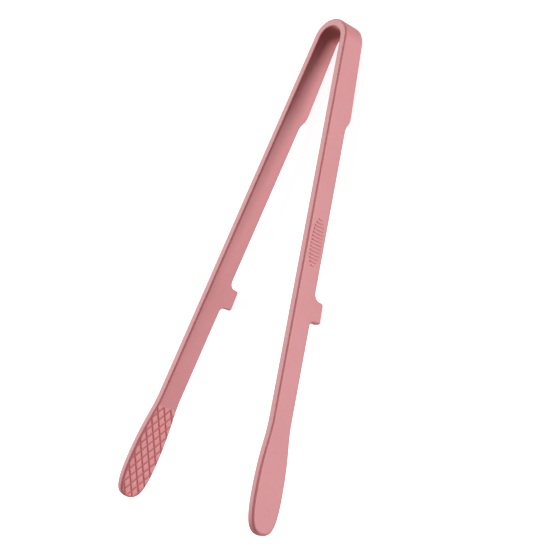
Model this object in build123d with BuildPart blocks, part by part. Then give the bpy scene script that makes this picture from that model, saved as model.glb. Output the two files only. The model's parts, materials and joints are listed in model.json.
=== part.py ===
"""Spring loaded kitchen tongs: two long arms held apart by a steel bow, in one silicone skin.

Millimetres, +Z up. The tongs lie as on a table, at z = 0: on the lower edge of the head's band and on
a foot under each arm, which hold the paddles clear. The head is at +Y and the paddles are at -Y.
Each arm is drawn once, for +X, and mirrored.
"""

import os
from math import ceil, cos, degrees, pi, radians, sin, tan

from build123d import *

# Overall form
arm_length = 240.0  # from the end of the bend to the end of the paddle
splay = radians(9.45)  # each arm from the centre plane, at rest
bend_radius = 8.75  # to the middle of the spring strip
thickness = 4.2  # across an arm, from its inner face to its outer face
edge_radius = 1.05  # moulded edges all round
rest_tilt = radians(2.45)  # how far the feet raise the arms off the table

# Head band and arm, seen from the side
head_height = 12.5  # upper edge to table, at the centre of the bend
band_length = 36.5
step_length = 9.0
arm_width = 11.8
paddle_start = 187.0
paddle_widest = 221.0
paddle_width = 17.2
paddle_swell = (0.3, 0.55)  # handle shares of the curve from the arm to the widest place
paddle_squareness = 0.74  # handle share at the rounded end: 0.55 is an ellipse

# Foot under each arm
foot_place = 133.4  # middle of the foot, along the arm
foot_length = 10.0
foot_draft = radians(5.0)
foot_corner = 1.2
foot_root_rear = 3.6  # fillet on the head's side
foot_root_front = 2.0

# Finger grip: raised ribs on the outer face
rib_count = 14
rib_pitch = 1.73
rib_width = 0.95
rib_height = 0.4
rib_length = 7.2
rib_end_length = 2.6
rib_taper = 4  # power by which the ribs shorten towards the row's ends
grip_place = 102.2  # middle of the ribs, along the arm

# Crosshatch on the inner face of each paddle
hatch_start = 193.5
hatch_pitch = 3.74  # between grooves of one set, square to them
hatch_angle = 34.5  # degrees, each set from the arm
hatch_depth = 0.45
hatch_width = 0.9
hatch_margin = 1.1  # plain rim left along the edge

# Spring bow: one strip of spring steel
strip_thickness = 0.6
strip_width = 8.0
strip_leg = 24.0  # straight leg along each arm
strip_top = 2.2  # below the upper edge

# Moulded cores
core_thickness = 2.4
core_cover_edge = 1.6  # silicone over the core's edges
core_start = 3.0
core_step_gap = 0.2  # from the strip's end to the core's full thickness
core_hole_radius = 1.6  # the skin flows through these and locks on
core_hole_pitch = 20.0
core_hole_first = 42.0
core_hole_count = 10

# Rivets, strip to core
rivet_radius = 1.25
rivet_head_radius = 2.3
rivet_head = 0.5
rivet_crown = 0.3  # radius round each head
rivet_places = (8.0, 18.0)  # along the arm

# Knuckles, where the skin is divided for the two arms to turn
knuckle_angle = radians(45.0)  # round the bend, from the +X side
knuckle_gap = 0.3
cut_margin = 2.0  # how far blanks run past the cuts that finish them
table_trim = 0.5  # how far the band and the feet reach below the table before they are cut level

# Tongs plane: through the upper edges, arms along -Y, with the bend's centre at its origin
head_reach = (bend_radius + thickness / 2) * cos(rest_tilt)
tip_reach = (arm_length * cos(splay) - bend_radius * sin(splay)) * cos(rest_tilt)
tip_reach += arm_width / 2 * sin(rest_tilt) + (thickness / 2 - edge_radius) * sin(splay)
tongs = Plane(
    origin=(0, (tip_reach - head_reach) / 2, head_height * cos(rest_tilt)),
    x_dir=(1, 0, 0),
    z_dir=(0, sin(rest_tilt), cos(rest_tilt)),
)
# Side plane of the +X arm: x runs along the arm from the end of the bend, y is up, z points inward
arm_side = Plane(
    origin=tongs.from_local_coords(
        Vector(bend_radius * cos(splay), bend_radius * sin(splay), 0)
    ),
    x_dir=tongs.x_dir * sin(splay) - tongs.y_dir * cos(splay),
    z_dir=(tongs.x_dir * cos(splay) + tongs.y_dir * sin(splay)) * -1,
)
pivot = (bend_radius * cos(knuckle_angle), bend_radius * sin(knuckle_angle))
blank_depth = head_height + cut_margin
outer_face = -thickness / 2  # as offsets of arm_side
inner_face = thickness / 2


def table_at(along):
    """Height of the table in the arm's side plane, at a distance along the arm."""
    return -head_height + (bend_radius * sin(splay) - along * cos(splay)) * tan(
        rest_tilt
    )


def paddle_edge(cover):
    """The paddle's outline, as a chain of curves inside the skin's by the given cover."""
    middle = -arm_width / 2
    neck = arm_width / 2 - cover
    wide = paddle_width / 2 - cover
    tip = arm_length - cover
    run = paddle_widest - paddle_start
    reach = (tip - paddle_widest) * paddle_squareness
    curves = []
    for side in (1, -1):
        curves.append(
            Bezier(
                (paddle_start, middle + side * neck),
                (paddle_start + paddle_swell[0] * run, middle + side * neck),
                (paddle_widest - paddle_swell[1] * run, middle + side * wide),
                (paddle_widest, middle + side * wide),
            )
        )
        curves.append(
            Bezier(
                (paddle_widest, middle + side * wide),
                (paddle_widest + reach, middle + side * wide),
                (tip, middle + side * wide * paddle_squareness),
                (tip, middle),
            )
        )
    return curves


def rims(part_edges):
    """The edges round a skin's inner and outer faces, without those that run across or upright."""
    limit = cos(radians(1.0))
    found = part_edges.filter_by(lambda e: abs((e % 0.5).dot(tongs.z_dir)) < limit)
    return found.filter_by(lambda e: abs((e % 0.5).dot(arm_side.z_dir)) < limit)


def bend_sector(start, end, half_thickness):
    """A stretch of the bend between two angles, as a face in the tongs plane."""
    with BuildSketch() as sector:
        with BuildLine():
            turn = (degrees(start), degrees(end - start))
            outer = CenterArc((0, 0), bend_radius + half_thickness, *turn)
            inner = CenterArc((0, 0), bend_radius - half_thickness, *turn)
            Line(outer @ 0, inner @ 0)
            Line(outer @ 1, inner @ 1)
        make_face()
    return sector.sketch


# Spring bow: a strip bent through the head, with a leg into each arm
with BuildPart() as spring_bow:
    with BuildSketch(tongs.offset(-strip_top)):
        add(bend_sector(splay, pi - splay, strip_thickness / 2))
    extrude(amount=-strip_width)
    with BuildSketch(arm_side):
        with Locations((strip_leg / 2, -strip_top - strip_width / 2)):
            Rectangle(strip_leg, strip_width)
    extrude(amount=strip_thickness / 2, both=True)
    with BuildSketch(arm_side):
        with Locations(*[(place, -strip_top - strip_width / 2) for place in rivet_places]):
            Circle(rivet_radius)
    extrude(amount=thickness, both=True, mode=Mode.SUBTRACT)
    split(bisect_by=Plane.YZ, keep=Keep.TOP)
    mirror(about=Plane.YZ)
spring_bow.part.label = "spring_bow"

# Core of the +X arm: a moulded plate with a thin tongue behind the strip and a lug into the foot
with BuildPart() as right_arm_core:
    with BuildSketch(arm_side):
        with BuildLine():
            edge = paddle_edge(core_cover_edge)
            top_start = (core_start, -core_cover_edge)
            low_start = (core_start, -arm_width + core_cover_edge)
            Line(top_start, edge[0] @ 0)
            Line(low_start, edge[2] @ 0)
            Line(top_start, low_start)
        make_face()
        lug_length = foot_length - 2 * core_cover_edge
        lug_low = table_at(foot_place) + core_cover_edge
        with Locations((foot_place, (lug_low - arm_width / 2) / 2)):
            Rectangle(lug_length, -arm_width / 2 - lug_low)
        holes_middle = core_hole_first + (core_hole_count - 1) / 2 * core_hole_pitch
        with Locations((holes_middle, -arm_width / 2)):
            with GridLocations(core_hole_pitch, 0, core_hole_count, 1):
                Circle(core_hole_radius, mode=Mode.SUBTRACT)
    extrude(amount=core_thickness / 2, both=True)
    tongue_length = strip_leg + core_step_gap - core_start
    with BuildSketch(arm_side.offset(-strip_thickness / 2)):
        with Locations((core_start + tongue_length / 2, -arm_width / 2)):
            Rectangle(tongue_length, arm_width)
    extrude(amount=core_thickness, mode=Mode.SUBTRACT)
    with BuildSketch(arm_side):
        with Locations(*[(place, -strip_top - strip_width / 2) for place in rivet_places]):
            Circle(rivet_radius)
    extrude(amount=thickness, both=True, mode=Mode.SUBTRACT)
right_arm_core.part.label = "right_arm_core"

# Rivets of the +X arm, through the strip and the core's tongue, with a head on each side
rivet_parts = {}
for number, place in enumerate(rivet_places, start=1):
    with BuildPart() as rivet:
        centre = (place, -strip_top - strip_width / 2)
        inner_seat = strip_thickness / 2
        outer_seat = -core_thickness / 2
        with BuildSketch(arm_side.offset(outer_seat)):
            with Locations(centre):
                Circle(rivet_radius)
        extrude(amount=inner_seat - outer_seat)
        with BuildSketch(arm_side.offset(inner_seat)):
            with Locations(centre):
                Circle(rivet_head_radius)
        extrude(amount=rivet_head)
        with BuildSketch(arm_side.offset(outer_seat)):
            with Locations(centre):
                Circle(rivet_head_radius)
        extrude(amount=-rivet_head)
        crowns = edges().filter_by(GeomType.CIRCLE).group_by(Axis(arm_side.origin, arm_side.z_dir))
        fillet(crowns[0] + crowns[-1], rivet_crown)
    rivet_parts[f"right_rivet_{number}"] = rivet.part

# Crosshatch cutter: two crossing sets of V grooves, kept inside the paddle's rim
with BuildPart() as hatch:
    hatch_middle = ((hatch_start + arm_length) / 2, -arm_width / 2)
    reach = (arm_length - hatch_start) / 2 + paddle_width
    lines = ceil(reach * sin(radians(hatch_angle)) / hatch_pitch)
    for turn in (radians(hatch_angle), -radians(hatch_angle)):
        groove = arm_side.x_dir * cos(turn) + arm_side.y_dir * sin(turn)
        across = arm_side.y_dir * cos(turn) - arm_side.x_dir * sin(turn)
        for line in range(-lines, lines + 1):
            centre = arm_side.offset(inner_face).from_local_coords(Vector(*hatch_middle, 0))
            centre += across * line * hatch_pitch
            with BuildSketch(Plane(origin=centre, x_dir=across, z_dir=groove)):
                Polygon(
                    (-hatch_width / 2, 0),
                    (-hatch_width / 2, cut_margin),
                    (hatch_width / 2, cut_margin),
                    (hatch_width / 2, 0),
                    (0, -hatch_depth),
                    align=None,
                )
            extrude(amount=reach, both=True)
    with BuildSketch(arm_side.offset(inner_face + cut_margin)):
        with BuildLine():
            edge = paddle_edge(hatch_margin)
            Line(edge[0] @ 0, edge[2] @ 0)
        make_face()
        with Locations((hatch_start, -arm_width / 2)):
            Rectangle(
                arm_length, paddle_width, align=(Align.MIN, Align.CENTER), mode=Mode.INTERSECT
            )
    extrude(amount=-2 * cut_margin, mode=Mode.INTERSECT)

# Skin of the +X arm: band, arm, foot and paddle, round the core
with BuildPart() as right_arm_skin:
    with BuildSketch(arm_side):
        with BuildLine():
            low = table_at(band_length) - table_trim
            edge = paddle_edge(0)
            Line((0, 0), edge[0] @ 0)
            Line((0, 0), (0, low))
            Line((0, low), (band_length, low))
            Bezier(
                (band_length, low),
                (band_length + step_length / 2, low),
                (band_length + step_length / 2, -arm_width),
                (band_length + step_length, -arm_width),
            )
            Line((band_length + step_length, -arm_width), edge[2] @ 0)
        make_face()
        foot_low = table_at(foot_place) - table_trim
        spread = (-arm_width - foot_low) * tan(foot_draft)
        half = foot_length / 2
        with BuildLine():
            Polyline(
                (foot_place - half - spread, -arm_width),
                (foot_place + half + spread, -arm_width),
                (foot_place + half, foot_low),
                (foot_place - half, foot_low),
                close=True,
            )
        make_face()
        roots = vertices().sort_by_distance((foot_place - half - spread, -arm_width))[0]
        fillet(roots, foot_root_rear)
        roots = vertices().sort_by_distance((foot_place + half + spread, -arm_width))[0]
        fillet(roots, foot_root_front)
    extrude(amount=thickness / 2, both=True)
    with BuildSketch(tongs):
        add(bend_sector(splay, knuckle_angle, thickness / 2))
        with Locations(pivot):
            Circle(thickness / 2)
    extrude(amount=-blank_depth)
    split(bisect_by=Plane.XY, keep=Keep.TOP)
    foot_sole = faces().filter_by(Plane.XY).sort_by(Axis.Y)[0]
    fillet(foot_sole.edges().sort_by(SortBy.LENGTH)[:2], foot_corner)
    fillet(rims(edges()), edge_radius)
    with BuildSketch(arm_side.offset(outer_face)):
        for rib in range(rib_count):
            step = rib - (rib_count - 1) / 2
            share = (2 * step / (rib_count - 1)) ** rib_taper
            length = rib_length + (rib_end_length - rib_length) * share
            with Locations((grip_place + step * rib_pitch, -arm_width / 2)):
                SlotOverall(length, rib_width, rotation=90)
    extrude(amount=-rib_height)
    add(hatch.part, mode=Mode.SUBTRACT)
    for inside in (right_arm_core, spring_bow):
        add(inside.part, mode=Mode.SUBTRACT)
    for part in rivet_parts.values():
        add(part, mode=Mode.SUBTRACT)
right_arm_skin.part.label = "right_arm_skin"

# Skin of the head: the middle of the bend, with a socket for each arm's knuckle
with BuildPart() as head_skin:
    with BuildSketch(tongs):
        add(bend_sector(knuckle_angle, pi - knuckle_angle, thickness / 2))
    extrude(amount=-blank_depth)
    split(bisect_by=Plane.XY, keep=Keep.TOP)
    fillet(edges().filter_by(GeomType.LINE, reverse=True), edge_radius)
    with BuildSketch(tongs.offset(cut_margin)):
        with Locations(pivot, (-pivot[0], pivot[1])):
            Circle(thickness / 2 + knuckle_gap)
    extrude(amount=-blank_depth - 2 * cut_margin, mode=Mode.SUBTRACT)
    add(spring_bow.part, mode=Mode.SUBTRACT)
head_skin.part.label = "head_skin"

# Write every piece, with the -X arm as the mirror image of the +X arm
pieces = {"spring_bow": spring_bow.part, "head_skin": head_skin.part}
right_pieces = {"right_arm_core": right_arm_core.part, "right_arm_skin": right_arm_skin.part}
right_pieces.update(rivet_parts)
for name, part in right_pieces.items():
    pieces[name] = part
    pieces[name.replace("right", "left")] = mirror(part, about=Plane.YZ)
os.makedirs("parts", exist_ok=True)
for name, part in pieces.items():
    part.label = name
    export_step(part, f"parts/{name}.step")
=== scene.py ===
"""Silicone tweezer tongs: the soft skin with its grips, over a steel bow and moulded cores.

Lengths are in millimetres in the design values and in metres on every object. The skin and the bow
are drawn flat, as if the tongs were unrolled: x runs along the arm from the end of the bend, y
outward and z up from the upper edge. Each half is then rolled round the bend into its place, and
the left half is the right one mirrored.
"""

import json
import math

import bmesh
import bpy
import numpy as np
from mathutils import Matrix, Vector
from mathutils.geometry import delaunay_2d_cdt


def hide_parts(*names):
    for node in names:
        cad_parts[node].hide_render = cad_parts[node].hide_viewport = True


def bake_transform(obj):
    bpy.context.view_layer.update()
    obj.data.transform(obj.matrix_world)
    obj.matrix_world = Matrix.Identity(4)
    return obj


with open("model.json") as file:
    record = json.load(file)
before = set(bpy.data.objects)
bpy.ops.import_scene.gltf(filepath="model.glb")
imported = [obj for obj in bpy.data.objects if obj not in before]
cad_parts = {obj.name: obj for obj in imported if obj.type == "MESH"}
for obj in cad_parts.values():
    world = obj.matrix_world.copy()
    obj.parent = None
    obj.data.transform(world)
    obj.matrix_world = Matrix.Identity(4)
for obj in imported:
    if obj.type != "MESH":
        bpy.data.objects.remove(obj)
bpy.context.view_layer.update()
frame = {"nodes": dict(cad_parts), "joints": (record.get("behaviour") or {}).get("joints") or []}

MM = 0.001

# Skin, as the design has it
ARM_LENGTH = 240.0
SPLAY = math.radians(9.45)
THICKNESS = 4.2
EDGE_RADIUS = 1.05
TIP_EDGE_RADIUS = 1.35  # the edges grow rounder over the paddle
BAND_LENGTH = 36.5
STEP_LENGTH = 9.0
ARM_WIDTH = 11.8
PADDLE_START = 187.0
PADDLE_WIDEST = 221.0
PADDLE_WIDTH = 17.2
PADDLE_SWELL = (0.3, 0.55)  # handle shares of the curve from the arm to the widest place
PADDLE_SQUARENESS = 0.74  # handle share at the rounded end
FOOT_PLACE = 133.4
FOOT_LENGTH = 10.0
FOOT_DRAFT = math.radians(5.0)
FOOT_CORNER = 1.2
FOOT_ROOTS = (3.6, 2.0)  # on the head's side and on the paddle's side

# Grips
RIB_COUNT = 14
RIB_PITCH = 1.73
RIB_WIDTH = 0.95
RIB_HEIGHT = 0.5
RIB_LENGTH = 7.2
RIB_END_LENGTH = 2.6
RIB_TAPER = 4.0  # power by which the ribs shorten towards the row's ends
GRIP_PLACE = 102.2  # middle of the ribs, along the arm
HATCH_START = 193.5
HATCH_PITCH = 3.74
HATCH_ANGLE = math.radians(34.5)
HATCH_DEPTH = 0.5
HATCH_WIDTH = 1.4
HATCH_LINES = 15  # in each set, more than cross the paddle

# Spring bow
STRIP_THICKNESS = 0.6
STRIP_WIDTH = 8.0
STRIP_LEG = 24.0
STRIP_TOP = 2.2  # below the upper edge
STRIP_EDGE = 0.12
STRIP_CORNER = 1.5
STRIP_MARGIN = 1.0  # from the strip's edges to the points across its broad faces

# Mesh spacing
BEND_STEP = 0.3
STRAIGHT_STEP = 3.0
FOOT_STEP = 1.0
SEAM_STEP = 1.6
CURVE_STEPS = 26
CORNER_STEPS = 10
FILLET_STEPS = 6
FACE_ROWS = 5
FACE_MARGIN = 0.3  # between the edge's rounding and the points across a broad face
RIB_SEGMENTS, RIB_RINGS = 20, 12
SMOOTH_ANGLE = math.radians(38)
BLEND_END = 2.0  # a distance along each arm, at which bend_with_arm works out a point it does not use

# Hidden pieces' colours
NYLON_DEEP = (0.58, 0.53, 0.44, 1)
NYLON_PALE = (0.72, 0.68, 0.6, 1)
NYLON_WORN = (0.85, 0.83, 0.78, 1)
STRIP_DEEP = (0.40, 0.41, 0.43, 1)
STRIP_PALE = (0.52, 0.53, 0.55, 1)
RIVET_DEEP = (0.56, 0.55, 0.53, 1)
RIVET_PALE = (0.66, 0.65, 0.63, 1)
STEEL_WORN = (0.82, 0.82, 0.83, 1)

# Silicone's colours
PINK_DEEP = (0.57, 0.19, 0.206, 1)
PINK_PALE = (0.605, 0.225, 0.241, 1)
PINK_BLOOM = (0.70, 0.33, 0.33, 1)
# painted shade along the rounded edges
PINK_PAINTED_EDGE_SHADE = (0.56, 0.08, 0.085, 1)
# painted shade, for the grooves and the grain's pits
PINK_PAINTED_SHADE = (0.40, 0.06, 0.062, 1)
PINK_PAINTED_HIGHLIGHT = (0.76, 0.27, 0.275, 1)  # painted highlight on the diamonds between the grooves
PINK_PAINTED_HOLLOW_SHADE = (0.32, 0.03, 0.02, 1)  # painted shade inside the bow
PINK_SHEEN = (1.0, 0.55, 0.52, 1)
HOLLOW_START = -8.0  # where the painted shade in the hollow starts and stops fading, along the arm
HOLLOW_END = 24.0
# the painted highlight on the diamonds fades out over this length before the grooves start, and
# over this depth into them
DIAMOND_FADE = 0.5
DIAMOND_DEPTH = 0.2

# Camera, in the tongs' own axes
CAMERA_PLACE = (653.99, -245.74, 578.9)
CAMERA_AIM = (7.12, -117.21, -6.0)
CAMERA_UP = Vector((-0.0963, 0.9445, 0.3141))
CAMERA_LENS = 122.8

# Light. The camera sees a brighter surround than the one that lights the tongs
FLOOR_DEEP = (0.86, 0.86, 0.86, 1)
FLOOR_PALE = (0.9, 0.9, 0.9, 1)
FLOOR_GLOW = 0.75
FLOOR_REACH = 4.0  # metres
WORLD_LIGHT = 0.28
WORLD_SEEN = 0.95

# The tongs' own axes, from the left arm's hinge, which lies at the upper edge and 45 degrees round
# the bend
hinge = next(j for j in frame["joints"] if j["name"] == "left_arm_squeeze")
hinge_place = Vector(hinge["pos_m"]) / MM
BEND_RADIUS = abs(hinge_place.x) * math.sqrt(2)
X_AXIS = Vector((1, 0, 0))
Z_AXIS = Vector(hinge["axis"]).normalized()
Y_AXIS = Z_AXIS.cross(X_AXIS)
BEND_CENTRE = Vector((0, hinge_place.y, hinge_place.z)) - Y_AXIS * BEND_RADIUS / math.sqrt(2)
TABLE_SLOPE = Z_AXIS.y / Z_AXIS.z
HEAD_HEIGHT = BEND_CENTRE.z / Z_AXIS.z
SEAM = -BEND_RADIUS * (math.pi / 2 - SPLAY)  # the middle of the bend, where the two halves meet


def in_tongs(x, y, z):
    """A point in the row frame, in metres, from its place in the tongs' own axes."""
    return (BEND_CENTRE + X_AXIS * x + Y_AXIS * y + Z_AXIS * z) * MM


def rolled(along, outward, up, side):
    """A flat point's place on the +X half (side 1) or the -X half (side -1)."""
    if along < 0:
        turn = SPLAY - along / BEND_RADIUS
        x = (BEND_RADIUS + outward) * math.cos(turn)
        y = (BEND_RADIUS + outward) * math.sin(turn)
        # the lower edge stays on the table across the band's thickness
        level = outward * (math.sin(turn) - math.sin(SPLAY)) * TABLE_SLOPE
        up += level * min(-up / HEAD_HEIGHT, 1)
    else:
        x = (BEND_RADIUS + outward) * math.cos(SPLAY) + along * math.sin(SPLAY)
        y = (BEND_RADIUS + outward) * math.sin(SPLAY) - along * math.cos(SPLAY)
    return in_tongs(side * x, y, up)


def table_at(along):
    """Height of the table under the band or arm, below the upper edge."""
    if along < 0:
        y = BEND_RADIUS * math.sin(SPLAY - along / BEND_RADIUS)
    else:
        y = BEND_RADIUS * math.sin(SPLAY) - along * math.cos(SPLAY)
    return -HEAD_HEIGHT + y * TABLE_SLOPE


# ---------------------------------------------------------------- outlines


def bezier(a, b, c, d, steps=CURVE_STEPS):
    """Points along a cubic curve, without its first."""
    points = []
    for i in range(1, steps + 1):
        t = i / steps
        s = 1 - t
        w = (s * s * s, 3 * s * s * t, 3 * s * t * t, t * t * t)
        points.append(tuple(w[0] * a[k] + w[1] * b[k] + w[2] * c[k] + w[3] * d[k] for k in (0, 1)))
    return points


def straight(a, b, step):
    """Points along a line, without its first."""
    count = max(1, math.ceil(math.dist(a, b) / step))
    return [tuple(a[k] + (b[k] - a[k]) * i / count for k in (0, 1)) for i in range(1, count + 1)]


def rounded_corner(before, corner, after, radius, steps=CORNER_STEPS):
    """Points of the arc that rounds a corner."""
    c = Vector(corner)
    back = (Vector(before) - c).normalized()
    on = (Vector(after) - c).normalized()
    half = back.angle(on) / 2
    centre = c + (back + on).normalized() * radius / math.sin(half)
    first = c + back * radius / math.tan(half) - centre
    last = c + on * radius / math.tan(half) - centre
    turn = first.angle_signed(last)
    points = []
    for i in range(steps + 1):
        points.append(tuple(centre + Matrix.Rotation(-turn * i / steps, 2) @ first))
    return points


def skin_outline():
    """The flat skin's rim, from the top of the seam round the paddle to the seam's foot."""
    middle = -ARM_WIDTH / 2
    neck = ARM_WIDTH / 2
    wide = PADDLE_WIDTH / 2
    run = PADDLE_WIDEST - PADDLE_START
    reach = (ARM_LENGTH - PADDLE_WIDEST) * PADDLE_SQUARENESS
    half = bezier(
        (PADDLE_START, neck),
        (PADDLE_START + PADDLE_SWELL[0] * run, neck),
        (PADDLE_WIDEST - PADDLE_SWELL[1] * run, wide),
        (PADDLE_WIDEST, wide),
    )
    half += bezier(
        (PADDLE_WIDEST, wide),
        (PADDLE_WIDEST + reach, wide),
        (ARM_LENGTH, wide * PADDLE_SQUARENESS),
        (ARM_LENGTH, 0),
        2 * CURVE_STEPS,
    )
    rim = [(SEAM, 0.0)]
    rim += straight((SEAM, 0), (0, 0), BEND_STEP)
    rim += straight((0, 0), (PADDLE_START, 0), STRAIGHT_STEP)
    rim += [(x, middle + z) for x, z in half]
    rim += [(x, middle - z) for x, z in reversed(half[:-1])]
    low = -ARM_WIDTH
    sole = table_at(FOOT_PLACE)
    spread = (low - sole) * math.tan(FOOT_DRAFT)
    front, rear = FOOT_PLACE + FOOT_LENGTH / 2, FOOT_PLACE - FOOT_LENGTH / 2
    start = (PADDLE_START, low)
    end = (BAND_LENGTH + STEP_LENGTH, low)
    foot = [
        start,
        (front + spread, low),
        (front, table_at(front)),
        (rear, table_at(rear)),
        (rear - spread, low),
        end,
    ]
    radii = (FOOT_ROOTS[1], FOOT_CORNER, FOOT_CORNER, FOOT_ROOTS[0])
    arcs = [rounded_corner(*foot[i : i + 3], radii[i]) for i in range(4)]
    rim += [start]
    rim += straight(start, arcs[0][0], STRAIGHT_STEP)[:-1]
    for i, arc in enumerate(arcs):
        rim += arc
        if i < 3:
            rim += straight(arc[-1], arcs[i + 1][0], FOOT_STEP)[:-1]
    rim += straight(arcs[3][-1], end, STRAIGHT_STEP)
    crest = (BAND_LENGTH, table_at(BAND_LENGTH))
    ease = STEP_LENGTH * 0.5
    slope = table_at(BAND_LENGTH + ease) - crest[1]
    rim += bezier(end, (end[0] - ease, low), (crest[0] + ease, crest[1] + slope), crest)
    rim += straight(crest, (0, table_at(0)), STRAIGHT_STEP)
    steps = math.ceil(-SEAM / BEND_STEP)
    rim += [(SEAM * i / steps, table_at(SEAM * i / steps)) for i in range(1, steps + 1)]
    return rim


def strip_outline():
    """The flat spring strip's rim, drawn the same way."""
    top, low = -STRIP_TOP, -STRIP_TOP - STRIP_WIDTH
    arcs = [
        rounded_corner((0, top), (STRIP_LEG, top), (STRIP_LEG, low), STRIP_CORNER),
        rounded_corner((STRIP_LEG, top), (STRIP_LEG, low), (0, low), STRIP_CORNER),
    ]
    rim = [(SEAM, top)]
    rim += straight((SEAM, top), (0, top), BEND_STEP)
    rim += straight((0, top), arcs[0][0], STRAIGHT_STEP)[:-1]
    rim += arcs[0] + arcs[1]
    rim += straight(arcs[1][-1], (0, low), STRAIGHT_STEP)
    rim += straight((0, low), (SEAM, low), BEND_STEP)
    return rim


# ---------------------------------------------------------------- meshes


def inset(rim, distances):
    """The rim moved inward by a distance at each point. Its two ends slide along the seam."""
    moved = []
    for i, (x, z) in enumerate(rim):
        ax, az = rim[max(i - 1, 0)]
        bx, bz = rim[min(i + 1, len(rim) - 1)]
        if i in (0, len(rim) - 1):
            tangent = Vector((1 if i == 0 else -1, 0))
        else:
            tangent = Vector((bx - ax, bz - az)).normalized()
        moved.append((x + tangent.y * distances[i], z - tangent.x * distances[i]))
    return moved


def edge_radius(along):
    """The skin's edge radius, which grows softly over the paddle."""
    t = min(max((along - PADDLE_START) / (PADDLE_WIDEST - PADDLE_START), 0), 1)
    return EDGE_RADIUS + (TIP_EDGE_RADIUS - EDGE_RADIUS) * t * t * (3 - 2 * t)


def flat_plate(name, rim, thickness, edges, inside_points):
    """A closed plate with rounded edges, drawn flat, in metres. The seam's end is cut square."""
    half = thickness / 2
    turns = [math.pi / 2 * (1 - i / FILLET_STEPS) for i in range(FILLET_STEPS + 1)]
    bm = bmesh.new()
    verts = []
    for face, turn in [(1, turn) for turn in turns] + [(-1, turn) for turn in reversed(turns)]:
        moved = inset(rim, [edge * (1 - math.cos(turn)) for edge in edges])
        outs = [face * (half - edge + edge * math.sin(turn)) for edge in edges]
        verts.append([bm.verts.new((x, out, z)) for (x, z), out in zip(moved, outs)])
    for a, b in zip(verts, verts[1:]):
        for i in range(len(rim) - 1):
            bm.faces.new((a[i], a[i + 1], b[i + 1], b[i]))
    # the two broad faces, and the square end at the seam
    seam_sides = []
    for ring in (verts[0], verts[-1]):
        high, low = ring[0].co.z, ring[-1].co.z
        count = max(2, math.ceil((high - low) / SEAM_STEP))
        out = ring[0].co.y
        seam = []
        for i in range(1, count):
            seam.append(bm.verts.new((SEAM, out, low + (high - low) * i / count)))
        seam_sides.append(seam)
        loop = ring + seam
        points = [Vector((v.co.x, v.co.z)) for v in loop]
        inner = [Vector(p) for p in inside_points]
        edges = [(i, (i + 1) % len(loop)) for i in range(len(loop))]
        found = delaunay_2d_cdt(points + inner, edges, [], 1, 1e-6)
        placed = []
        for place, origins in zip(found[0], found[3]):
            known = [k for k in origins if k < len(loop)]
            placed.append(loop[known[0]] if known else bm.verts.new((place.x, out, place.y)))
        for face in found[2]:
            bm.faces.new([placed[k] for k in face])
    end = [ring[0] for ring in verts] + list(reversed(seam_sides[1]))
    end += [ring[-1] for ring in reversed(verts)] + seam_sides[0]
    bm.faces.new(end)
    bmesh.ops.scale(bm, vec=(MM, MM, MM), verts=bm.verts)
    bmesh.ops.recalc_face_normals(bm, faces=bm.faces)
    mesh = bpy.data.meshes.new(name)
    bm.to_mesh(mesh)
    bm.free()
    return mesh


def inside_grid(top, low, start, end):
    """Places inside the bend and the arm that carry the broad faces round the bend."""
    places = []
    steps = math.ceil(-SEAM / BEND_STEP)
    columns = [SEAM * i / steps for i in range(1, steps)] + [0.0]
    columns += [start + i * STRAIGHT_STEP for i in range(int((end - start) / STRAIGHT_STEP) + 1)]
    for x in columns:
        for row in range(1, FACE_ROWS):
            places.append((x, top + (low - top) * row / FACE_ROWS))
    return places


# ---------------------------------------------------------------- node helpers


def add_node(group, kind, inputs=None, **settings):
    """A node with its settings. An input is a value, or an output socket to link from."""
    node = group.nodes.new(kind)
    for key, value in settings.items():
        setattr(node, key, value)
    for key, value in (inputs or {}).items():
        if isinstance(value, bpy.types.NodeSocket):
            group.links.new(value, node.inputs[key])
        else:
            node.inputs[key].default_value = value
    return node


def calc(group, operation, a, b=0.0, **settings):
    """The output of a Math node."""
    node = add_node(group, "ShaderNodeMath", {0: a, 1: b}, operation=operation, **settings)
    return node.outputs[0]


def vector(group, x, y, z):
    """The output of a Combine XYZ node."""
    return add_node(group, "ShaderNodeCombineXYZ", {0: x, 1: y, 2: z}).outputs[0]


def new_group(name, kind, inputs, outputs):
    """A node group with its sockets, and its input and output nodes."""
    group = bpy.data.node_groups.new(name, kind)
    for label, socket, value in inputs:
        made = group.interface.new_socket(label, in_out="INPUT", socket_type=socket)
        if value is not None:
            made.default_value = value
    for label, socket in outputs:
        group.interface.new_socket(label, in_out="OUTPUT", socket_type=socket)
    start, end = (group.nodes.new(f"NodeGroup{way}") for way in ("Input", "Output"))
    return group, start.outputs, end.inputs


def run_tree(piece, group, values):
    """Runs a geometry tree on a piece and keeps the result as its plain mesh."""
    modifier = piece.modifiers.new(group.name, "NODES")
    modifier.node_group = group
    for item in group.interface.items_tree:
        if item.in_out == "INPUT" and item.name in values:
            modifier[item.identifier] = values[item.name]
    keep_evaluated(piece)


def keep_evaluated(piece):
    """Turns a piece's modifiers into its plain mesh."""
    bpy.context.view_layer.update()
    shown = piece.evaluated_get(bpy.context.evaluated_depsgraph_get())
    mesh = bpy.data.meshes.new_from_object(shown)
    piece.modifiers.clear()
    piece.data = mesh


# ---------------------------------------------------------------- grips


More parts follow.
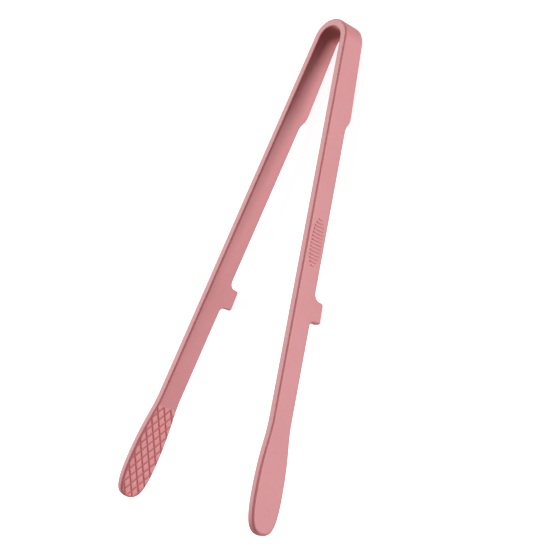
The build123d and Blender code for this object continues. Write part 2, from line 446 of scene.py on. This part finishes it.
def crosshatch_tree():
    """Cuts two crossing sets of soft grooves into the plate's inner face, past a starting line."""
    sizes = [
        ("Geometry", "NodeSocketGeometry", None),
        ("Start", "NodeSocketFloat", HATCH_START * MM),
        ("End", "NodeSocketFloat", ARM_LENGTH * MM),
        ("Middle", "NodeSocketFloat", -ARM_WIDTH / 2 * MM),
        ("Face", "NodeSocketFloat", -THICKNESS / 2 * MM),
        ("Pitch", "NodeSocketFloat", HATCH_PITCH * MM),
        ("Angle", "NodeSocketFloat", HATCH_ANGLE),
        ("Depth", "NodeSocketFloat", HATCH_DEPTH * MM),
        ("Width", "NodeSocketFloat", HATCH_WIDTH * MM),
        ("Lines", "NodeSocketInt", HATCH_LINES),
        ("Material", "NodeSocketMaterial", None),
    ]
    group, sizes, out = new_group(
        "crosshatch_grip", "GeometryNodeTree", sizes, [("Geometry", "NodeSocketGeometry")]
    )
    corners = 12  # of the cutter's outline, counted both ways from the groove's bottom
    shoulder = 4
    blank = add_node(
        group,
        "GeometryNodeMeshCylinder",
        {"Vertices": corners, "Radius": 1.0, "Depth": 1.0},
        fill_type="NGON",
    )
    place = add_node(group, "GeometryNodeInputPosition").outputs[0]
    axes = add_node(group, "ShaderNodeSeparateXYZ", {0: place}).outputs
    turn = calc(group, "ARCTAN2", axes["Y"], axes["X"])
    corner = calc(group, "ROUND", calc(group, "DIVIDE", turn, 2 * math.pi / corners))
    count = calc(group, "ABSOLUTE", corner)
    across = calc(group, "MINIMUM", calc(group, "DIVIDE", count, shoulder), 1.0)
    across = calc(group, "MULTIPLY", across, calc(group, "SIGN", corner))
    at_back = calc(group, "COMPARE", count, corners / 2)
    across = calc(group, "MULTIPLY", across, calc(group, "SUBTRACT", 1.0, at_back))
    across = calc(group, "MULTIPLY", across, calc(group, "MULTIPLY", sizes["Width"], 0.5))
    # a soft wave from shoulder to shoulder, just clear of the face at its ends
    wave = calc(group, "COSINE", calc(group, "MULTIPLY", count, math.pi / shoulder))
    wave = add_node(
        group, "ShaderNodeMath", {0: wave, 1: 0.52, 2: 0.48}, operation="MULTIPLY_ADD"
    ).outputs[0]
    in_groove = calc(group, "LESS_THAN", count, shoulder + 0.5)
    wave = calc(group, "MULTIPLY", wave, in_groove)
    lift = calc(group, "SUBTRACT", in_groove, 1.0)
    depth = calc(group, "MULTIPLY", calc(group, "ADD", wave, lift), sizes["Depth"])
    span = calc(group, "MULTIPLY", calc(group, "SUBTRACT", sizes["End"], sizes["Start"]), 2.0)
    shaped = vector(group, calc(group, "MULTIPLY", axes["Z"], span), depth, across)
    cutter = add_node(
        group, "GeometryNodeSetPosition", {"Geometry": blank.outputs["Mesh"], "Position": shaped}
    ).outputs[0]
    first = calc(group, "MULTIPLY", calc(group, "SUBTRACT", sizes["Lines"], 1.0), -0.5)
    first = calc(group, "MULTIPLY", first, sizes["Pitch"])
    row = add_node(
        group,
        "GeometryNodeMeshLine",
        {
            "Count": sizes["Lines"],
            "Start Location": vector(group, 0.0, 0.0, first),
            "Offset": vector(group, 0.0, 0.0, sizes["Pitch"]),
        },
    ).outputs[0]
    row = add_node(
        group, "GeometryNodeInstanceOnPoints", {"Points": row, "Instance": cutter}
    ).outputs[0]
    centre = calc(group, "MULTIPLY", calc(group, "ADD", sizes["Start"], sizes["End"]), 0.5)
    both = add_node(group, "GeometryNodeJoinGeometry")
    for way in (1, -1):
        turned = add_node(
            group,
            "GeometryNodeTransform",
            {
                "Geometry": row,
                "Translation": vector(group, centre, sizes["Face"], sizes["Middle"]),
                "Rotation": vector(group, 0.0, calc(group, "MULTIPLY", sizes["Angle"], way), 0.0),
            },
        )
        group.links.new(turned.outputs[0], both.inputs[0])
    cutters = add_node(group, "GeometryNodeRealizeInstances", {0: both.outputs[0]}).outputs[0]
    span = calc(group, "SUBTRACT", sizes["End"], sizes["Start"])
    grip_size = vector(group, calc(group, "MULTIPLY", span, 2.0), span, span)
    grip = add_node(group, "GeometryNodeMeshCube", {"Size": grip_size}).outputs[0]
    grip_place = vector(group, sizes["End"], sizes["Face"], sizes["Middle"])
    grip = add_node(
        group, "GeometryNodeTransform", {"Geometry": grip, "Translation": grip_place}
    ).outputs[0]
    held = add_node(
        group,
        "GeometryNodeMeshBoolean",
        {"Mesh 2": cutters, "Self Intersection": True},
        operation="INTERSECT",
        solver="EXACT",
    )
    group.links.new(grip, held.inputs["Mesh 2"])
    cut = add_node(
        group,
        "GeometryNodeMeshBoolean",
        {"Mesh 1": sizes["Geometry"], "Mesh 2": held.outputs[0], "Self Intersection": True},
        operation="DIFFERENCE",
        solver="EXACT",
    )
    real = add_node(group, "GeometryNodeRealizeInstances", {0: cut.outputs[0]}).outputs[0]
    done = add_node(
        group, "GeometryNodeSetMaterial", {"Geometry": real, "Material": sizes["Material"]}
    )
    group.links.new(done.outputs[0], out[0])
    return group


def ribs_tree():
    """Adds a row of raised ribs to the plate's outer face, shorter towards the row's ends."""
    sizes = [
        ("Geometry", "NodeSocketGeometry", None),
        ("Count", "NodeSocketInt", RIB_COUNT),
        ("Pitch", "NodeSocketFloat", RIB_PITCH * MM),
        ("Width", "NodeSocketFloat", RIB_WIDTH * MM),
        ("Height", "NodeSocketFloat", RIB_HEIGHT * MM),
        ("Longest", "NodeSocketFloat", RIB_LENGTH * MM),
        ("Shortest", "NodeSocketFloat", RIB_END_LENGTH * MM),
        ("Place", "NodeSocketFloat", GRIP_PLACE * MM),
        ("Middle", "NodeSocketFloat", -ARM_WIDTH / 2 * MM),
        ("Face", "NodeSocketFloat", THICKNESS / 2 * MM),
        ("Material", "NodeSocketMaterial", None),
    ]
    group, sizes, out = new_group(
        "finger_ribs", "GeometryNodeTree", sizes, [("Geometry", "NodeSocketGeometry")]
    )
    half_width = calc(group, "MULTIPLY", sizes["Width"], 0.5)
    squares = calc(
        group,
        "ADD",
        calc(group, "MULTIPLY", half_width, half_width),
        calc(group, "MULTIPLY", sizes["Height"], sizes["Height"]),
    )
    radius = calc(group, "DIVIDE", calc(group, "MULTIPLY", squares, 0.5), sizes["Height"])
    sunk = calc(group, "SUBTRACT", radius, sizes["Height"])
    last = calc(group, "SUBTRACT", sizes["Count"], 1.0)
    half_row = calc(group, "MULTIPLY", last, 0.5)
    reach = calc(group, "MULTIPLY", half_row, sizes["Pitch"])
    first = calc(group, "SUBTRACT", sizes["Place"], reach)
    centre = calc(group, "SUBTRACT", sizes["Face"], sunk)
    row = add_node(
        group,
        "GeometryNodeMeshLine",
        {
            "Count": sizes["Count"],
            "Start Location": vector(group, first, centre, 0.0),
            "Offset": vector(group, sizes["Pitch"], 0.0, 0.0),
        },
    ).outputs[0]
    step = calc(group, "SUBTRACT", add_node(group, "GeometryNodeInputIndex").outputs[0], half_row)
    share = calc(group, "ABSOLUTE", calc(group, "DIVIDE", step, half_row))
    share = calc(group, "POWER", share, RIB_TAPER)
    change = calc(group, "SUBTRACT", sizes["Shortest"], sizes["Longest"])
    change = calc(group, "MULTIPLY", share, change)
    length = calc(group, "ADD", sizes["Longest"], change)
    row = add_node(group, "GeometryNodeCaptureAttribute", {"Geometry": row})
    row.capture_items.new("FLOAT", "Length")
    group.links.new(length, row.inputs["Length"])
    ball = add_node(
        group,
        "GeometryNodeMeshUVSphere",
        {"Segments": RIB_SEGMENTS, "Rings": RIB_RINGS, "Radius": radius},
    ).outputs["Mesh"]
    balls = add_node(
        group, "GeometryNodeInstanceOnPoints", {"Points": row.outputs["Geometry"], "Instance": ball}
    ).outputs[0]
    balls = add_node(group, "GeometryNodeRealizeInstances", {0: balls}).outputs[0]
    place = add_node(group, "GeometryNodeInputPosition").outputs[0]
    up = add_node(group, "ShaderNodeSeparateXYZ", {0: place}).outputs["Z"]
    stretch = calc(group, "SUBTRACT", calc(group, "MULTIPLY", row.outputs["Length"], 0.5), radius)
    above = calc(group, "GREATER_THAN", up, 1e-6)
    below = calc(group, "LESS_THAN", up, -1e-6)
    stretch = calc(group, "MULTIPLY", stretch, calc(group, "SUBTRACT", above, below))
    offset = vector(group, 0.0, 0.0, calc(group, "ADD", stretch, sizes["Middle"]))
    ribs = add_node(
        group, "GeometryNodeSetPosition", {"Geometry": balls, "Offset": offset}
    ).outputs[0]
    joined = add_node(
        group,
        "GeometryNodeMeshBoolean",
        {"Mesh 2": sizes["Geometry"], "Self Intersection": True},
        operation="UNION",
        solver="EXACT",
    )
    group.links.new(ribs, joined.inputs["Mesh 2"])
    real = add_node(group, "GeometryNodeRealizeInstances", {0: joined.outputs[0]}).outputs[0]
    done = add_node(
        group, "GeometryNodeSetMaterial", {"Geometry": real, "Material": sizes["Material"]}
    )
    group.links.new(done.outputs[0], out[0])
    return group


# ---------------------------------------------------------------- materials


def soft_clouds_group():
    """Slow, faint variation over a surface, from -1 to 1 about its middle."""
    group, sizes, out = new_group(
        "soft_clouds",
        "ShaderNodeTree",
        [
            ("Vector", "NodeSocketVector", None),
            ("Size", "NodeSocketFloat", 0.02),
            ("Detail", "NodeSocketFloat", 3.0),
        ],
        [("Value", "NodeSocketFloat")],
    )
    scale = calc(group, "DIVIDE", 1.0, sizes["Size"])
    noise = add_node(
        group,
        "ShaderNodeTexNoise",
        {"Vector": sizes["Vector"], "Scale": scale, "Detail": sizes["Detail"], "Roughness": 0.55},
    )
    value = calc(group, "MULTIPLY", calc(group, "SUBTRACT", noise.outputs[0], 0.5), 3.0)
    group.links.new(value, out[0])
    return group


def fine_grain_group():
    """The fine grain that a blasted mould leaves: a height, and the share of its pits."""
    group, sizes, out = new_group(
        "fine_grain",
        "ShaderNodeTree",
        [
            ("Vector", "NodeSocketVector", None),
            ("Size", "NodeSocketFloat", 0.0003),
            ("Pits", "NodeSocketFloat", 0.35),
        ],
        [("Height", "NodeSocketFloat"), ("Pit", "NodeSocketFloat")],
    )
    scale = calc(group, "DIVIDE", 1.0, sizes["Size"])
    grain = add_node(
        group,
        "ShaderNodeTexNoise",
        {"Vector": sizes["Vector"], "Scale": scale, "Detail": 4.0, "Roughness": 0.6},
    )
    cells = add_node(
        group,
        "ShaderNodeTexVoronoi",
        {"Vector": sizes["Vector"], "Scale": scale},
        feature="SMOOTH_F1",
    )
    pit = add_node(
        group,
        "ShaderNodeMapRange",
        {"Value": cells.outputs["Distance"], "From Min": sizes["Pits"], "From Max": 0.0},
        interpolation_type="SMOOTHSTEP",
    ).outputs[0]
    height = calc(group, "SUBTRACT", grain.outputs[0], calc(group, "MULTIPLY", pit, 0.35))
    group.links.new(height, out[0])
    group.links.new(pit, out[1])
    return group


def worn_edge_group():
    """Where a piece's edges are worn: a mask broken up by noise."""
    group, sizes, out = new_group(
        "worn_edge",
        "ShaderNodeTree",
        [
            ("Vector", "NodeSocketVector", None),
            ("Radius", "NodeSocketFloat", 0.0003),
            ("Size", "NodeSocketFloat", 0.002),
        ],
        [("Mask", "NodeSocketFloat")],
    )
    eased = add_node(group, "ShaderNodeBevel", {"Radius": sizes["Radius"]}, samples=4)
    plain = add_node(group, "ShaderNodeNewGeometry").outputs["Normal"]
    likeness = add_node(
        group, "ShaderNodeVectorMath", {0: eased.outputs[0], 1: plain}, operation="DOT_PRODUCT"
    ).outputs["Value"]
    edge = add_node(
        group, "ShaderNodeMapRange", {"Value": likeness, "From Min": 0.995, "From Max": 0.9}
    ).outputs[0]
    scale = calc(group, "DIVIDE", 1.0, sizes["Size"])
    noise = add_node(
        group, "ShaderNodeTexNoise", {"Vector": sizes["Vector"], "Scale": scale, "Detail": 4.0}
    )
    broken = add_node(
        group, "ShaderNodeMapRange", {"Value": noise.outputs[0], "From Min": 0.4, "From Max": 0.6}
    ).outputs[0]
    group.links.new(calc(group, "MULTIPLY", edge, broken), out[0])
    return group


CLOUDS = soft_clouds_group()
GRAIN = fine_grain_group()
WORN = worn_edge_group()


def group_node(tree, group, inputs):
    """A shader group's outputs, placed in a material with its own values."""
    return add_node(tree, "ShaderNodeGroup", inputs, node_tree=group).outputs


def mixed(tree, share, a, b):
    """A colour between two."""
    return add_node(tree, "ShaderNodeMix", {0: share, 6: a, 7: b}, data_type="RGBA").outputs[2]


def new_material(name):
    """An empty node material and its Principled shader."""
    material = bpy.data.materials.new(name)
    material.use_nodes = True
    tree = material.node_tree
    return material, tree, tree.nodes["Principled BSDF"]


def span_value(tree, value, low, high):
    """A value from -1..1 spread between two numbers."""
    return add_node(
        tree,
        "ShaderNodeMapRange",
        {"Value": value, "From Min": -1.0, "From Max": 1.0, "To Min": low, "To Max": high},
    ).outputs[0]


def add_bump(tree, shader, height, strength, distance):
    """Fine relief from a height, in the material's own normal."""
    values = {"Height": height, "Strength": strength, "Distance": distance}
    bump = add_node(tree, "ShaderNodeBump", values)
    tree.links.new(bump.outputs[0], shader.inputs["Normal"])


def fading_mask(tree, *spans):
    """One below every span's first number, fading to nothing at its second."""
    masks = [
        add_node(
            tree,
            "ShaderNodeMapRange",
            {"Value": value, "From Min": start, "From Max": end, "To Min": 1.0, "To Max": 0.0},
            interpolation_type="SMOOTHSTEP",
        ).outputs[0]
        for value, start, end in spans
    ]
    return calc(tree, "MULTIPLY", *masks)


def silicone():
    """Matte pink silicone with soft mottling and mould grain, with painted shade in its grooves,
    grain pits, rounded edges and bow, and a painted highlight on the diamonds between the grooves.
    """
    material, tree, shader = new_material("pink_silicone")
    flat = add_node(tree, "ShaderNodeAttribute", attribute_name="flat_place").outputs["Vector"]
    edge = add_node(tree, "ShaderNodeAttribute", attribute_name="moulded_edge").outputs["Fac"]
    groove = add_node(tree, "ShaderNodeAttribute", attribute_name="groove_depth").outputs["Fac"]
    slow = group_node(tree, CLOUDS, {"Vector": flat, "Size": 0.03, "Detail": 2.0})["Value"]
    quick = group_node(tree, CLOUDS, {"Vector": flat, "Size": 0.0016, "Detail": 4.0})["Value"]
    grain = group_node(tree, GRAIN, {"Vector": flat, "Size": 0.00034, "Pits": 0.3})
    colour = mixed(tree, span_value(tree, slow, 0.0, 1.0), PINK_DEEP, PINK_PALE)
    colour = mixed(tree, span_value(tree, quick, 0.0, 0.16), colour, PINK_BLOOM)
    # painted shade in the grain's pits
    colour = mixed(tree, calc(tree, "MULTIPLY", grain["Pit"], 0.1), colour, PINK_PAINTED_SHADE)
    # painted shade along the middle of each rounded edge
    colour = mixed(tree, calc(tree, "MULTIPLY", edge, 0.5), colour, PINK_PAINTED_EDGE_SHADE)
    place = add_node(tree, "ShaderNodeSeparateXYZ", {"Vector": flat}).outputs
    along, outward = place["X"], place["Y"]
    inner_face = -THICKNESS / 2 * MM
    # painted highlight: the diamonds between the grooves are lighter
    diamond = fading_mask(
        tree,
        (calc(tree, "SUBTRACT", HATCH_START * MM, along), 0.0, DIAMOND_FADE * MM),
        (outward, inner_face, inner_face + DIAMOND_DEPTH * MM),
    )
    colour = mixed(tree, calc(tree, "MULTIPLY", diamond, 0.9), colour, PINK_PAINTED_HIGHLIGHT)
    # painted shade, deeper towards the bottom of each groove
    colour = mixed(tree, calc(tree, "MULTIPLY", groove, 0.65), colour, PINK_PAINTED_SHADE)
    # painted shade on the inner face in the hollow of the bow, fading out along the arm
    hollow = fading_mask(
        tree,
        (along, HOLLOW_START * MM, HOLLOW_END * MM),
        (outward, inner_face, inner_face + EDGE_RADIUS * MM),
    )
    colour = mixed(tree, calc(tree, "MULTIPLY", hollow, 0.85), colour, PINK_PAINTED_HOLLOW_SHADE)
    tree.links.new(colour, shader.inputs["Base Color"])
    rough = span_value(tree, quick, 0.47, 0.57)
    rough = calc(tree, "ADD", rough, calc(tree, "MULTIPLY", edge, -0.07))
    rough = calc(tree, "ADD", rough, calc(tree, "MULTIPLY", groove, 0.12))
    tree.links.new(rough, shader.inputs["Roughness"])
    add_bump(tree, shader, grain["Height"], 0.35, 0.00005)
    shader.inputs["IOR"].default_value = 1.41
    shader.inputs["Subsurface Weight"].default_value = 0.12
    shader.inputs["Subsurface Radius"].default_value = (1.0, 0.45, 0.4)
    shader.inputs["Subsurface Scale"].default_value = 0.0012
    shader.inputs["Specular IOR Level"].default_value = 1.0
    shader.inputs["Sheen Weight"].default_value = 1.0
    shader.inputs["Sheen Roughness"].default_value = 0.5
    shader.inputs["Sheen Tint"].default_value = PINK_SHEEN
    return material


def nylon():
    """Natural moulded nylon of the cores, milky and lightly grained."""
    material, tree, shader = new_material("core_nylon")
    place = add_node(tree, "ShaderNodeTexCoord").outputs["Object"]
    slow = group_node(tree, CLOUDS, {"Vector": place, "Size": 0.02, "Detail": 3.0})["Value"]
    grain = group_node(tree, GRAIN, {"Vector": place, "Size": 0.0005, "Pits": 0.3})
    worn = group_node(tree, WORN, {"Vector": place, "Radius": 0.0003, "Size": 0.002})["Mask"]
    colour = mixed(tree, span_value(tree, slow, 0.0, 1.0), NYLON_DEEP, NYLON_PALE)
    colour = mixed(tree, calc(tree, "MULTIPLY", worn, 0.5), colour, NYLON_WORN)
    tree.links.new(colour, shader.inputs["Base Color"])
    rough = span_value(tree, slow, 0.42, 0.52)
    rough = calc(tree, "SUBTRACT", rough, calc(tree, "MULTIPLY", worn, 0.1))
    tree.links.new(rough, shader.inputs["Roughness"])
    add_bump(tree, shader, grain["Height"], 0.4, 0.00008)
    shader.inputs["IOR"].default_value = 1.53
    return material


def steel(name, deep, pale, stretch, attribute):
    """Steel with fine drawn lines along one direction, and worn edges."""
    material, tree, shader = new_material(name)
    if attribute:
        place = add_node(tree, "ShaderNodeAttribute", attribute_name=attribute).outputs["Vector"]
    else:
        place = add_node(tree, "ShaderNodeTexCoord").outputs["Object"]
    drawn = add_node(tree, "ShaderNodeMapping", {"Vector": place, "Scale": stretch}).outputs[0]
    lines = group_node(tree, CLOUDS, {"Vector": drawn, "Size": 0.0004, "Detail": 5.0})["Value"]
    slow = group_node(tree, CLOUDS, {"Vector": place, "Size": 0.006, "Detail": 3.0})["Value"]
    worn = group_node(tree, WORN, {"Vector": place, "Radius": 0.0002, "Size": 0.001})["Mask"]
    colour = mixed(tree, span_value(tree, slow, 0.0, 1.0), deep, pale)
    colour = mixed(tree, calc(tree, "MULTIPLY", worn, 0.6), colour, STEEL_WORN)
    tree.links.new(colour, shader.inputs["Base Color"])
    rough = span_value(tree, lines, 0.24, 0.42)
    rough = calc(tree, "SUBTRACT", rough, calc(tree, "MULTIPLY", worn, 0.1))
    tree.links.new(rough, shader.inputs["Roughness"])
    add_bump(tree, shader, lines, 0.3, 0.00003)
    shader.inputs["Metallic"].default_value = 1.0
    return material


PINK_SILICONE = silicone()
CORE_NYLON = nylon()
SPRING_STEEL = steel("spring_steel", STRIP_DEEP, STRIP_PALE, (0.05, 1.0, 1.0), "flat_place")
RIVET_STEEL = steel("rivet_steel", RIVET_DEEP, RIVET_PALE, (1.0, 1.0, 1.0), None)


# ---------------------------------------------------------------- skin and bow


def rim_distance(points, rim):
    """How far inside the rim each flat point lies. The seam's end is not part of the rim."""
    a = np.array(rim[:-1])
    run = np.array(rim[1:]) - a
    best = np.full(len(points), 1e9)
    for start, step in zip(a, run):
        away = points - start
        share = np.clip(away @ step / (step @ step), 0, 1)
        best = np.minimum(best, np.linalg.norm(away - share[:, None] * step, axis=1))
    return best


def mark_surface(mesh, rim):
    """Stores each point's flat place, how far round an edge it lies, and how deep in a groove."""
    co = np.zeros(len(mesh.vertices) * 3, np.float32)
    mesh.vertices.foreach_get("co", co)
    mesh.attributes.new("flat_place", "FLOAT_VECTOR", "POINT").data.foreach_set("vector", co)
    flat = co.reshape(-1, 3) / MM
    inside = rim_distance(flat[:, (0, 2)], rim)
    edges = np.array([edge_radius(x) for x in flat[:, 0]])
    turn = np.arccos(np.clip(1 - inside / edges, 0, 1))
    edge = np.sin(2 * turn).clip(0, 1)
    depth = flat[:, 1] + THICKNESS / 2
    in_grip = (flat[:, 0] > HATCH_START - 0.01) & (depth < HATCH_DEPTH + 0.01)
    fillet_depth = edges * (1 - np.sin(turn))
    groove = np.where(in_grip, (depth - fillet_depth) / HATCH_DEPTH, 0).clip(0, 1)
    for name, values in (("moulded_edge", edge), ("groove_depth", groove)):
        made = mesh.attributes.new(name, "FLOAT", "POINT")
        made.data.foreach_set("value", values.astype(np.float32))


def roll_up(mesh, side):
    """Rolls a flat mesh round the bend, on one side of the centre plane."""
    for vertex in mesh.vertices:
        along, outward, up = vertex.co / MM
        vertex.co = rolled(along, outward, up, side)
    if side < 0:
        mesh.flip_normals()


def finish_surface(piece):
    """Smooth shading that keeps flat faces flat and sharp cuts crisp."""
    piece.data.shade_smooth()
    piece.data.set_sharp_from_angle(angle=SMOOTH_ANGLE)
    even = piece.modifiers.new("even_shading", "WEIGHTED_NORMAL")
    even.keep_sharp = True
    keep_evaluated(piece)


def make_piece(name, mesh, material):
    """A new object with one material."""
    mesh.materials.clear()
    mesh.materials.append(material)
    piece = bpy.data.objects.new(name, mesh)
    bpy.context.scene.collection.objects.link(piece)
    return piece


def bend_with_arm(piece, side):
    """Bakes a piece's placement into its mesh."""
    height = -HEAD_HEIGHT / 2
    rolled(BLEND_END, 0, height, side)
    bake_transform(piece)


skin_rim = skin_outline()
skin_edges = [edge_radius(x) for x, z in skin_rim]
skin_margin = EDGE_RADIUS + FACE_MARGIN
skin_inside = inside_grid(-skin_margin, -ARM_WIDTH + skin_margin, STRAIGHT_STEP, PADDLE_START)
flat_skin = make_piece(
    "flat_skin",
    flat_plate("flat_skin", skin_rim, THICKNESS, skin_edges, skin_inside),
    PINK_SILICONE,
)
run_tree(flat_skin, crosshatch_tree(), {"Material": PINK_SILICONE})
run_tree(flat_skin, ribs_tree(), {"Material": PINK_SILICONE})
mark_surface(flat_skin.data, skin_rim)

strip_rim = strip_outline()
strip_edges = [STRIP_EDGE] * len(strip_rim)
strip_inside = inside_grid(
    -STRIP_TOP - STRIP_MARGIN,
    -STRIP_TOP - STRIP_WIDTH + STRIP_MARGIN,
    STRAIGHT_STEP,
    STRIP_LEG - STRAIGHT_STEP,
)
flat_strip = make_piece(
    "flat_strip",
    flat_plate("flat_strip", strip_rim, STRIP_THICKNESS, strip_edges, strip_inside),
    SPRING_STEEL,
)
mark_surface(flat_strip.data, strip_rim)

for side, hand in ((1, "right"), (-1, "left")):
    skin = make_piece(f"skin_{hand}", flat_skin.data.copy(), PINK_SILICONE)
    roll_up(skin.data, side)
    finish_surface(skin)
    bend_with_arm(skin, side)
    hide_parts("head_skin", f"{hand}_arm_skin")
    bow = make_piece(f"spring_{hand}", flat_strip.data.copy(), SPRING_STEEL)
    roll_up(bow.data, side)
    finish_surface(bow)
    bend_with_arm(bow, side)
    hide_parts("spring_bow")
    for number in (1, 2):
        frame["nodes"][f"{hand}_rivet_{number}"].material_slots[0].material = RIVET_STEEL
    frame["nodes"][f"{hand}_arm_core"].material_slots[0].material = CORE_NYLON
for flat in (flat_skin, flat_strip):
    bpy.data.objects.remove(flat)


# ---------------------------------------------------------------- floor, lights and camera


def facing(place, aim, up):
    """A matrix at place whose -Z axis points at aim."""
    back = (Vector(place) - Vector(aim)).normalized()
    right = Vector(up).cross(back).normalized()
    turned = Matrix((right, back.cross(right), back)).transposed().to_4x4()
    return Matrix.Translation(place) @ turned


camera = bpy.data.objects.new("camera", bpy.data.cameras.new("camera"))
bpy.context.scene.collection.objects.link(camera)
up = X_AXIS * CAMERA_UP.x + Y_AXIS * CAMERA_UP.y + Z_AXIS * CAMERA_UP.z
camera.matrix_world = facing(in_tongs(*CAMERA_PLACE), in_tongs(*CAMERA_AIM), up)
camera.data.lens = CAMERA_LENS
camera.data.clip_start = 0.01
camera.data.clip_end = 20.0
bpy.context.scene.camera = camera


def softbox(name, azimuth, elevation, distance, width, height, power):
    """A soft area light on a bearing round the tongs, turned to them."""
    light = bpy.data.lights.new(name, "AREA")
    light.shape = "RECTANGLE"
    light.size = width
    light.size_y = height
    light.energy = power
    lamp = bpy.data.objects.new(name, light)
    lamp.visible_camera = False
    bpy.context.scene.collection.objects.link(lamp)
    turn, lift = math.radians(azimuth), math.radians(elevation)
    flat = math.cos(lift)
    away = Vector((math.cos(turn) * flat, math.sin(turn) * flat, math.sin(lift)))
    lamp.matrix_world = facing(away * distance, (0, 0, 0), (0, 0, 1))
    return lamp


def studio_floor(size):
    """A pale floor with a faint glow. Only the camera sees it, so light passes through it."""
    material, tree, shader = new_material("pale_floor")
    place = add_node(tree, "ShaderNodeTexCoord").outputs["Object"]
    slow = group_node(tree, CLOUDS, {"Vector": place, "Size": 0.6, "Detail": 2.0})["Value"]
    colour = mixed(tree, span_value(tree, slow, 0.0, 1.0), FLOOR_DEEP, FLOOR_PALE)
    tree.links.new(colour, shader.inputs["Base Color"])
    shader.inputs["Roughness"].default_value = 0.8
    shader.inputs["Emission Color"].default_value = (1, 1, 1, 1)
    seen = add_node(tree, "ShaderNodeLightPath").outputs["Is Camera Ray"]
    tree.links.new(calc(tree, "MULTIPLY", seen, FLOOR_GLOW), shader.inputs["Emission Strength"])
    bm = bmesh.new()
    corners = ((-size, -size), (size, -size), (size, size), (-size, size))
    bm.faces.new([bm.verts.new((x, y, 0)) for x, y in corners])
    mesh = bpy.data.meshes.new("studio_floor")
    bm.to_mesh(mesh)
    bm.free()
    floor = make_piece("studio_floor", mesh, material)
    floor.visible_diffuse = False
    floor.visible_glossy = False
    floor.visible_shadow = False


studio_floor(FLOOR_REACH)
softbox("left_softbox", 170, 42, 1.4, 1.6, 1.0, 22.5)
softbox("right_softbox", 17, -18, 1.6, 1.4, 0.6, 25.0)
world = bpy.data.worlds.new("studio")
bpy.context.scene.world = world
world.use_nodes = True
shade = world.node_tree.nodes["Background"]
shade.inputs["Color"].default_value = (1, 1, 1, 1)
seen = add_node(world.node_tree, "ShaderNodeLightPath").outputs["Is Camera Ray"]
level = add_node(
    world.node_tree,
    "ShaderNodeMapRange",
    {"Value": seen, "To Min": WORLD_LIGHT, "To Max": WORLD_SEEN},
)
world.node_tree.links.new(level.outputs[0], shade.inputs["Strength"])
bpy.context.scene.view_settings.view_transform = "Standard"
